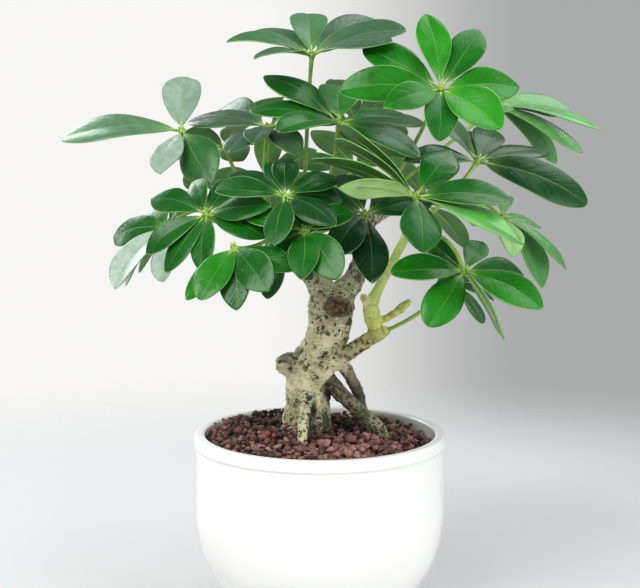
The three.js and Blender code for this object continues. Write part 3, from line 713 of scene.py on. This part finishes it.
# --- The fronds ---------------------------------------------------------------------
# Twenty-five umbrella leaves. Each is a round green petiole that ends in a pale knot, from
# which four to eight glossy leaflets spread, every one on its own short stalk.
BLADE_STATIONS = [(0, 0.1), (0.15, 0.1), (0.43, 0.86), (0.73, 1), (1, 0.32)]
BLADE_WIDTH = 0.42
BLADE_DROOP = math.radians(38)
FRAME_BLADE = 0.8  # thickness of a leaflet in the frame
FRAME_MATCH = 0.05  # a leaflet whose tip lies this near a corner of the frame stands there
BENDS = [(share, lift, swing) for share in (1, 0.86, 0.72) for lift in (0, 7, -7, 14, -14, 21, -21)
         for swing in (0, 6, -6, 12, -12)]
COLUMNS = (-1, -0.9, -0.68, -0.42, -0.2, -0.07, 0, 0.07, 0.2, 0.42, 0.68, 0.9, 1)
ROWS = 22
ROW_CROWDING = 0.65  # how much closer the rows of a blade lie at its two ends
STALK_SHARE = 0.08  # share of a leaflet that is bare stalk
BLADE_END = 1.015  # where the blade ends, as a share of the leaflet in the frame
BLADE_THICKNESS = 0.5
PETIOLE_LEAD = 6  # length over which a petiole leaves its stem straight
CAP_BREADTH = 2.7  # no two corners of a petiole's end cap in the frame are further apart
FOOT_SINK = 1.5  # how far a petiole goes into the bark
PETIOLE_STEPS = 18
PETIOLE_RADIUS = 1.25
RIB_STEPS = 9
RIB_END = 0.8  # share of a leaflet at which its midrib runs out
KNOT_RADIUS = 2.3
BUD_SCALES = 5  # the small pointed scales on a knot
leaf_random = random.Random(29)


def ring(count, length, lift, turn):
    """Leaflets spread evenly round a knot, a little unlike in length and lift."""
    return [(turn + i * 360 / count, length - (i % 3) * 3, lift + (-4 if i % 2 else 5))
            for i in range(count)]


# Some fronds carry a painted sheen: a pale grey-green painted reflection of the bright room.
FRONDS = [
    dict(name="crown", elbow=(-8, 3, 318), knot=(-5, 0, 351), faces=(-90, 8), tone=0.31, painted_sheen=0.12,
         leaflets=[(-4, 58, 20), (45, 60, 17, 15), (92, 60, 15, 25), (125, 60, 12, 15), (232, 44, 2),
                   (278, 54, 8, -10), (316, 60, 8, -8)]),
    dict(name="bright", elbow=(62, -20, 305), knot=(71, -45, 331), faces=(-80, 55), tone=0.62,
         leaflets=[(-4, 50, 8), (36, 50, 4), (86, 50, -4, 0, 1.2), (139, 46, 12, 0, 1.5),
                   (191, 40, 7, 0, 1.2), (243, 45, 14), (272, 60, -4), (318, 56, -10)]),
    dict(name="far_right", elbow=(84, 45, 296), knot=(116, 75, 318), faces=(-10, 25), tone=0.77,
         painted_sheen=0.2,
         leaflets=[(180, 72, 13, 11, 0.8), (150, 56, 18, 26), (182, 66, -2, 19, 0.8),
                   (158, 60, -17, 46, 0.8), (80, 56, 2), (265, 50, 0), (320, 50, 5)]),
    dict(name="centre_top", elbow=(8, -32, 262), knot=(11, -35, 311), faces=(-80, 25), tone=0.45,
         leaflets=[(10, 52, 0, 0, 1.2), (72, 60, -10), (130, 56, -4), (232, 54, 12), (288, 54, 0),
                   (320, 62, 8)]),
    dict(name="far_left", elbow=(-80, -10, 282), knot=(-84, -10, 305), faces=(-150, 35), breadth=1.08,
         tone=0.42,
         leaflets=[(215, 76, 26, -3, 1.05), (314, 54, 16, 35), (143, 46, -4, -15),
                   (112, 52, -26, 10, 1.15)]),
    dict(name="upper_left", elbow=(-38, -4, 270), knot=(-32, -5, 307), faces=(-110, 25), tone=0.25,
         painted_sheen=0.12,
         leaflets=[(282, 60, -2), (303, 62, -7, -8), (197, 46, 8), (170, 42, 14), (135, 44, -3),
                   (75, 48, 4), (20, 44, -4)]),
    dict(name="left", elbow=(-57, -52, 246), knot=(-65, -75, 260), faces=(-105, 45), tone=0.42,
         leaflets=[(291, 42, -6, 0, 1.1), (331, 36, -10, -25), (8, 40, -16), (92, 42, 14, 0, 1.1),
                   (118, 42, 0, -9, 1.15), (172, 40, -6, 20), (195, 42, -12, 12), (228, 42, -10)]),
    dict(name="low_left", elbow=(-80, -22, 262), knot=(-92, -30, 248), faces=(-150, 45), tone=0.42,
         leaflets=[(244, 46, 8, -15, 1.1), (179, 50, 1, -13, 1.2), (205, 46, -14), (137, 44, -11, 3, 1.1),
                   (95, 36, 5), (345, 40, -5), (295, 38, 5)]),
    dict(name="front_centre", elbow=(-22, -74, 256), knot=(-20, -85, 271), faces=(-85, 40), tone=0.33,
         leaflets=[(310, 40, -8), (340, 38, -12), (10, 38, -14), (42, 40, -10), (70, 40, -15, 15, 1.05),
                   (140, 42, 12, 0, 1.1), (203, 42, 4, 20), (258, 40, 0)]),
    dict(name="front_left", elbow=(-36, -86, 240), knot=(-48, -105, 244), faces=(-95, 50), tone=0.58,
         leaflets=[(201, 42, 9, 2, 1.1), (173, 42, 2, 10), (141, 44, 9, 20, 1.15), (117, 40, 14, -6),
                   (219, 40, -9, 15)]),
    dict(name="front_low", elbow=(-10, -76, 238), knot=(-9, -100, 253), faces=(-80, 50), tone=0.52,
         leaflets=[(240, 40, 12), (190, 42, 9, 15), (162, 44, 16, 25, 1.1), (60, 36, -10), (0, 36, -12),
                   (300, 36, 0)]),
    dict(name="heart", elbow=(26, -22, 232), knot=(27, -45, 257), faces=(-80, 45), tone=0.22,
         leaflets=[(184, 52, 1), (214, 48, 12), (300, 46, -5), (350, 44, -15), (30, 44, -12),
                   (80, 46, -5), (255, 46, 4)]),
    dict(name="shoot_tip", elbow=(56, -62, 262), knot=(55, -75, 270), faces=(-75, 45), tone=0.45,
         leaflets=[(40, 52, -5, 0, 1.05), (339, 64, 0, 65), (318, 60, -1, 60), (293, 64, 6, 60),
                   (268, 50, 13, 79, 1.1), (190, 48, 9, 0, 1.2), (100, 56, 6, -10), (116, 68, 5, -26)]),
    dict(name="right", elbow=(76, -36, 262), knot=(95, -25, 287), faces=(-60, 30), tone=0.36,
         leaflets=[(126, 72, -4, 24, 0.9), (85, 58, 2, -5, 0.8), (55, 50, 0), (14, 46, -5), (325, 46, 0),
                   (276, 50, 6)]),
    dict(name="low_right", elbow=(74, -60, 258), knot=(84, -70, 226), faces=(-80, 45), tone=0.52,
         leaflets=[(265, 46, 7), (217, 46, -3, 0, 1.15), (136, 54, 14, 0, 1.05), (82, 42, -16, 7),
                   (166, 54, 5, -75, 0.9), (31, 36, -15), (330, 38, -15)]),
    dict(name="right_back", elbow=(98, 60, 268), knot=(120, 50, 246), faces=(-40, 25), tone=0.86,
         painted_sheen=0.18,
         leaflets=[(152, 54, -39, 25), (151, 54, -18, 2, 0.8), (261, 46, 3, 19, 0.9), (95, 44, -10),
                   (222, 44, -10), (45, 44, 0), (310, 44, 0)]),
]
HIDDEN_FRONDS = [  # name, elbow, knot, faces, tone, and how the leaflets are spread in a ring
    ("low_twig", (66, 2, 190), (84, 8, 208), (-30, 35), 0.3, (6, 36, 0, 20)),
    ("back_top", (28, 52, 276), (24, 66, 306), (80, 25), 0.35, (7, 52, 6, 10)),
    ("back_left_high", (-56, 52, 272), (-62, 58, 292), (130, 35), 0.4, (7, 52, 4, 25)),
    ("back_left_low", (-74, 40, 246), (-92, 44, 244), (165, 45), 0.45, (6, 46, 0, 5)),
    ("back_mid_left", (-44, 84, 256), (-36, 100, 266), (105, 50), 0.5, (6, 48, 4, 15)),
    ("back_mid_right", (14, 98, 264), (24, 108, 276), (80, 45), 0.42, (6, 48, 4, 30)),
    ("back_low", (0, 86, 238), (-8, 98, 226), (100, 60), 0.5, (6, 44, 2, 12)),
    ("back_right", (72, 88, 254), (74, 104, 250), (60, 45), 0.4, (6, 46, 2, 20)),
    ("under", (-22, -50, 242), (-24, -62, 245), (-95, 60), 0.25, (6, 38, 0, 8)),
]
FRONDS += [dict(name=name, elbow=elbow, knot=knot, faces=faces, tone=tone, leaflets=ring(*spread))
           for name, elbow, knot, faces, tone, spread in HIDDEN_FRONDS]
# A leaflet's painted sheen is a pale painted reflection of the bright room, seen at a glancing angle.
ODD_LEAFLETS = {  # tone and pallor of leaflets unlike the rest of their frond
    ("shoot_tip", 4): (0.86, 0.0), ("crown", 0): (0.45, 0.15), ("centre_top", 0): (0.6, 0.06),
    ("far_left", 0): (0.45, 0.2), ("far_left", 1): (0.35, 0.5), ("far_left", 2): (0.35, 0.6),
    ("far_left", 3): (0.42, 0.05), ("low_left", 0): (0.42, 0.0), ("low_left", 1): (0.4, 0.85),
    ("low_left", 2): (0.4, 0.7), ("low_left", 3): (0.4, 0.8), ("shoot_tip", 7): (0.79, 0.06),
    ("low_right", 4): (0.25, 0.1),
}


def leaf_finish(name, tones, vein, margin_highlight, gloss):
    """A leaf's skin: a tone for each leaflet, veins along the blade, a pale margin painted as a highlight,
    and painted sheen.
    """
    finish, tree, shader, place = new_finish(name)
    painted_sheen = marked(tree, "painted_sheen")
    flat = add_node(tree, "UVMap", uv_map="UVMap").outputs["UV"]
    flat = add_node(tree, "SeparateXYZ", {"Vector": flat}).outputs
    across, along = flat["X"], flat["Y"]
    patches, grain = uneven(place, 55, 900)
    off = worked("ABSOLUTE", worked("SUBTRACT", across, 0.5))
    wave = worked("PINGPONG", weighted((along, 12), (off, -7), (patches, 0.35)), 0.5)
    laterals = stepped(wave, 0.09, 0.0)
    dimples = noisy(place, 120.0, 1.0)
    mottle = noisy(place, 210.0)
    beads = add_node(tree, "TexVoronoi", {"Vector": place, "Scale": 190.0})
    chance = add_node(tree, "SeparateColor", {"Color": beads.outputs["Color"]}).outputs["Red"]
    bead = times(stepped(beads.outputs["Distance"], 0.20, 0.04),
                 stepped(chance, 0.86, 0.88))
    midrib_width = stepped(along, 0.0, 1.0, 0.045, 0.012)
    from_midrib = worked("DIVIDE", off, midrib_width)
    midrib = stepped(from_midrib, 1.0, 0.3)
    # The pale margin is a painted highlight where light catches the leaf's edge; on leaflets with painted
    # sheen it is dark instead.
    margin = worked("MAXIMUM", stepped(off, 0.462, 0.495), stepped(along, 0.972, 0.995))
    skin = add_node(tree, "HueSaturation", {"Color": toned(marked(tree, "tone"), tones),
                    "Value": stepped(patches, 0.0, 1.0, 0.84, 1.14),
                    "Saturation": stepped(grain, 0.3, 0.7, 0.94, 1.06)}).outputs[0]
    # Painted sheen: leaflets that catch the bright room at a glancing angle are mixed towards a pale
    # grey-green painted reflection.
    painted_sheen_colour = two_tone(mottle, 0.35, 0.65, (0.34, 0.45, 0.38), (0.47, 0.57, 0.50))
    skin = layered(skin, [
        (painted_sheen, painted_sheen_colour),
        (stepped(along, 0.30, 0.0, 0.0, 0.45), vein),
        (times(laterals, 0.10), vein),
        (times(midrib, 0.62), vein),
        (times(margin, 0.75), blended(painted_sheen, margin_highlight, (0.07, 0.15, 0.09))),
    ])
    give(shader, "Base Color", skin)
    gloss = stepped(patches, 0, 1, gloss, gloss + 0.10)
    give(shader, "Roughness", weighted((gloss, 1), (bead, -0.16)))
    relief = weighted((grain, 0.35), (midrib, -0.8), (stepped(wave, 0.3, 0.0), -0.15),
                      (dimples, 2.0), (bead, 2.0))
    roughen(shader, relief, 0.0004, 0.5)
    return finish, shader


# After the tones come the veins' colour and the colour of the margin's painted highlight.
leaf_top, shader = leaf_finish("glossy_leaf", [
    (0.0, (0.003, 0.028, 0.011)), (0.25, (0.004, 0.060, 0.010)), (0.5, (0.006, 0.115, 0.006)),
    (0.75, (0.022, 0.25, 0.007)), (0.9, (0.15, 0.42, 0.06)), (1.0, (0.42, 0.66, 0.20))],
    (0.20, 0.38, 0.08), (0.26, 0.50, 0.14), 0.24)
give(shader, "Specular IOR Level", 0.29)
give(shader, "Coat Weight", 0.10)
give(shader, "Coat Roughness", 0.25)
leaf_under, shader = leaf_finish("dull_underside", [
    (0.0, (0.05, 0.16, 0.05)), (0.5, (0.11, 0.29, 0.07)), (1.0, (0.50, 0.74, 0.32))],
    (0.38, 0.52, 0.20), (0.36, 0.56, 0.22), 0.45)

stalk_green, tree, shader, place = new_finish("stalk_green")
patches, grain = uneven(place, 150, 1600)
stalk = blended(patches, (0.17, 0.34, 0.055), (0.36, 0.50, 0.12))
stalk = blended(stepped(grain, 0.6, 0.72, 0, 0.5), stalk, (0.42, 0.30, 0.12))
give(shader, "Base Color", stalk)
give(shader, "Roughness", stepped(grain, 0.3, 0.7, 0.32, 0.5))
roughen(shader, grain, 0.0002, 0.4)


class Leaflet:
    """A leaflet's middle line and its level crosswise and upward directions, as in the frame."""

    def __init__(self, frond, measures, bend):
        turn, length, lift, roll, broader = measures + (0, 1)[len(measures) - 3:]
        share, more_lift, swing = bend
        compass, tilt = (math.radians(angle) for angle in frond["faces"])
        self.knot = Vector(frond["knot"])
        self.axis = Vector((math.sin(tilt) * math.cos(compass), math.sin(tilt) * math.sin(compass),
                            math.cos(tilt)))
        top = Vector((-math.cos(tilt) * math.cos(compass), -math.cos(tilt) * math.sin(compass),
                      math.sin(tilt)))
        angle = math.radians(turn + swing)
        self.run = top * math.cos(angle) + top.cross(self.axis) * math.sin(angle)
        self.across = self.axis.cross(self.run)
        self.start = math.radians(lift + more_lift) + BLADE_DROOP / 2
        self.reach = length * share
        self.half_width = self.reach * BLADE_WIDTH * frond.get("breadth", 1) * broader / 2
        self.roll = math.radians(roll)

    def at(self, station, aside=0.0, above=0.0):
        """The point at a share of the length, so far aside and above the middle line."""
        slope = self.start - BLADE_DROOP * station
        forward = self.reach * (math.sin(self.start) - math.sin(slope)) / BLADE_DROOP
        rise = self.reach * (math.cos(slope) - math.cos(self.start)) / BLADE_DROOP
        upward = self.axis * math.cos(slope) - self.run * math.sin(slope)
        point = self.knot + self.run * forward + self.axis * rise
        point += self.across * (aside * math.cos(self.roll) - above * math.sin(self.roll))
        return point + upward * (above * math.cos(self.roll) + aside * math.sin(self.roll))


def fitted(frond, measures, frame_points):
    """The leaflet with the bend that the frame gave it, or nothing where it has none."""
    for bend in BENDS:
        leaflet = Leaflet(frond, measures, bend)
        tip = leaflet.at(1, leaflet.half_width * BLADE_STATIONS[-1][1], FRAME_BLADE / 2)
        if frame_points.find(tip)[2] < FRAME_MATCH:
            return leaflet
    return None


def petiole_line(frond, frame_shape):
    """Points along a petiole, with their radius. It leaves the stem where the frame's does."""
    def off_stem(point):
        return min(stem.find_nearest(point.co)[3] for stem in (wood_shape, shoot_shape))

    corner = min(frame_shape.verts, key=off_stem)
    cap = [point for point in frame_shape.verts if (point.co - corner.co).length < CAP_BREADTH]
    end = next(face for face in corner.link_faces if all(point in cap for point in face.verts))
    start = sum((point.co for point in cap), Vector()) / len(cap)
    foot = start + end.normal * FOOT_SINK
    lead = start - end.normal * PETIOLE_LEAD
    elbow, knot = Vector(frond["elbow"]), Vector(frond["knot"])
    line = []
    for k in range(PETIOLE_STEPS + 1):
        t = k / PETIOLE_STEPS
        place = foot * (1 - t) ** 3 + lead * 3 * t * (1 - t) ** 2
        place += elbow * 3 * t * t * (1 - t) + knot * t ** 3
        line.append((place, PETIOLE_RADIUS + 0.9 * near(t, 0, 0.12) + 0.5 * near(t, 1, 0.08)))
    return line


def stalks_through(lines):
    """A mesh of round stalks, each through a list of points that carry their radius."""
    curve = bpy.data.curves.new("stalks", "CURVE")
    curve.dimensions = "3D"
    curve.bevel_depth = 1
    curve.bevel_resolution = 2
    curve.use_fill_caps = True
    for line in lines:
        spline = curve.splines.new("POLY")
        spline.points.add(len(line) - 1)
        for point, (place, radius) in zip(spline.points, line):
            point.co = (*place, 1)
            point.radius = radius
    holder = bpy.data.objects.new("stalks", curve)
    mesh = bpy.data.meshes.new_from_object(holder)
    bpy.data.objects.remove(holder)
    return mesh


def add_blade(drawn, leaflet, tone, painted_sheen):
    """One leaf blade, shaped from a grid: folded a little, waved, and blunt at the tip."""
    tone_layer = drawn.verts.layers.float["tone"]
    painted_sheen_layer = drawn.verts.layers.float["painted_sheen"]
    grid = bmesh.ops.create_grid(drawn, x_segments=len(COLUMNS) - 1, y_segments=ROWS, size=1, calc_uvs=True)
    fold = leaf_random.uniform(-0.02, 0.3)
    curl = leaf_random.uniform(0.0, 0.18)
    waves = leaf_random.uniform(0.02, 0.06)
    phase = leaf_random.uniform(0, math.tau)
    notch = max(0.0, leaf_random.gauss(0.005, 0.02))
    lean = leaf_random.uniform(-0.12, 0.12)
    blunt = leaf_random.uniform(0.50, 0.80)
    widest = leaf_random.uniform(1.08, 1.4)
    for point in grid["verts"]:
        i = round((point.co.x + 1) / 2 * (len(COLUMNS) - 1))
        share = (point.co.y + 1) / 2
        share += ROW_CROWDING * ((1 - math.cos(math.pi * share)) / 2 - share)
        x = -COLUMNS[i]  # so that the grid's own upper side is the leaflet's
        station = STALK_SHARE + (BLADE_END - STALK_SHARE) * share
        width = max(math.sin(math.pi * min(share, 0.999) ** widest), 0) ** blunt
        width = max(width, 0.05 if share < 0.5 else 0.02)
        station -= notch * math.exp(-((x / 0.35) ** 2)) * share ** 8
        aside = leaflet.half_width * width * (x + lean * (1 - x * x) * math.sin(math.pi * share))
        above = leaflet.half_width * width * (fold * abs(x) ** 1.3 - curl * abs(x) ** 4)
        above += leaflet.half_width * waves * x * x * math.sin(9 * share + phase + (1.7 if x > 0 else 0))
        above -= 0.22 * math.exp(-((x * width / 0.08) ** 2)) * (1 - share)
        point.co = leaflet.at(station, aside, above)
        point[tone_layer] = tone
        point[painted_sheen_layer] = painted_sheen


def grow_frond(frond):
    """One frond: blades that get their thickness from Solidify, then stalks and the knot."""
    node = "frond_" + frond["name"]
    frame_shape = shape_in_frame(node)
    frame_points = KDTree(len(frame_shape.verts))
    for index, point in enumerate(frame_shape.verts):
        frame_points.insert(point.co, index)
    frame_points.balance()
    blades = bmesh.new()
    blades.loops.layers.uv.new("UVMap")
    blades.verts.layers.float.new("tone")
    blades.verts.layers.float.new("painted_sheen")
    knot = Vector(frond["knot"])
    lines = [petiole_line(frond, frame_shape)]
    axis = Leaflet(frond, frond["leaflets"][0], (1, 0, 0)).axis
    for k in range(BUD_SCALES):
        scale_way = (axis + 0.8 * Vector([leaf_random.uniform(-1, 1) for _ in range(3)])).normalized()
        lines.append([(knot, 0.9), (knot + scale_way * 2.6, 0.7), (knot + scale_way * 4.2, 0.1)])
    for index, measures in enumerate(frond["leaflets"]):
        leaflet = fitted(frond, measures, frame_points)
        if leaflet is None:
            continue
        usual = (frond["tone"] + leaf_random.uniform(-0.14, 0.08), frond.get("painted_sheen", 0))
        tone, painted_sheen = ODD_LEAFLETS.get((frond["name"], index), usual)
        add_blade(blades, leaflet, tone, painted_sheen)
        rib = []
        for k in range(RIB_STEPS + 1):
            share = k / RIB_STEPS
            under_blade = min(4.5 * share, 1)
            radius = 0.95 - 0.3 * under_blade - 0.5 * max(share - 0.22, 0) / 0.78
            station = 0.02 + (RIB_END - 0.02) * share
            rib.append((leaflet.at(station, 0, -0.1 - 0.5 * under_blade), radius))
        lines.append(rib)
    piece = finished(blades, node + "_leaves", leaf_top, leaf_under, stalk_green)
    thick = piece.modifiers.new("blade_thickness", "SOLIDIFY")
    thick.thickness = BLADE_THICKNESS * MM
    thick.offset = 0
    thick.material_offset = 1
    thick.material_offset_rim = 0
    settle(piece)
    stalks = bmesh.new()
    stalks.from_mesh(stalks_through(lines))
    bmesh.ops.remove_doubles(stalks, verts=stalks.verts, dist=0.001)
    bmesh.ops.create_icosphere(stalks, subdivisions=2, radius=KNOT_RADIUS, matrix=Matrix.Translation(knot))
    for face in stalks.faces:
        face.material_index = 2
    bmesh.ops.recalc_face_normals(stalks, faces=stalks.faces)
    resize(stalks, MM)
    stalks.from_mesh(piece.data)
    resize(stalks, 1 / MM)
    bpy.data.objects.remove(piece)
    grown = finished(stalks, node + "_leaves", leaf_top, leaf_under, stalk_green)
    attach(grown, "root")
    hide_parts(node)


for frond in FRONDS:
    grow_frond(frond)
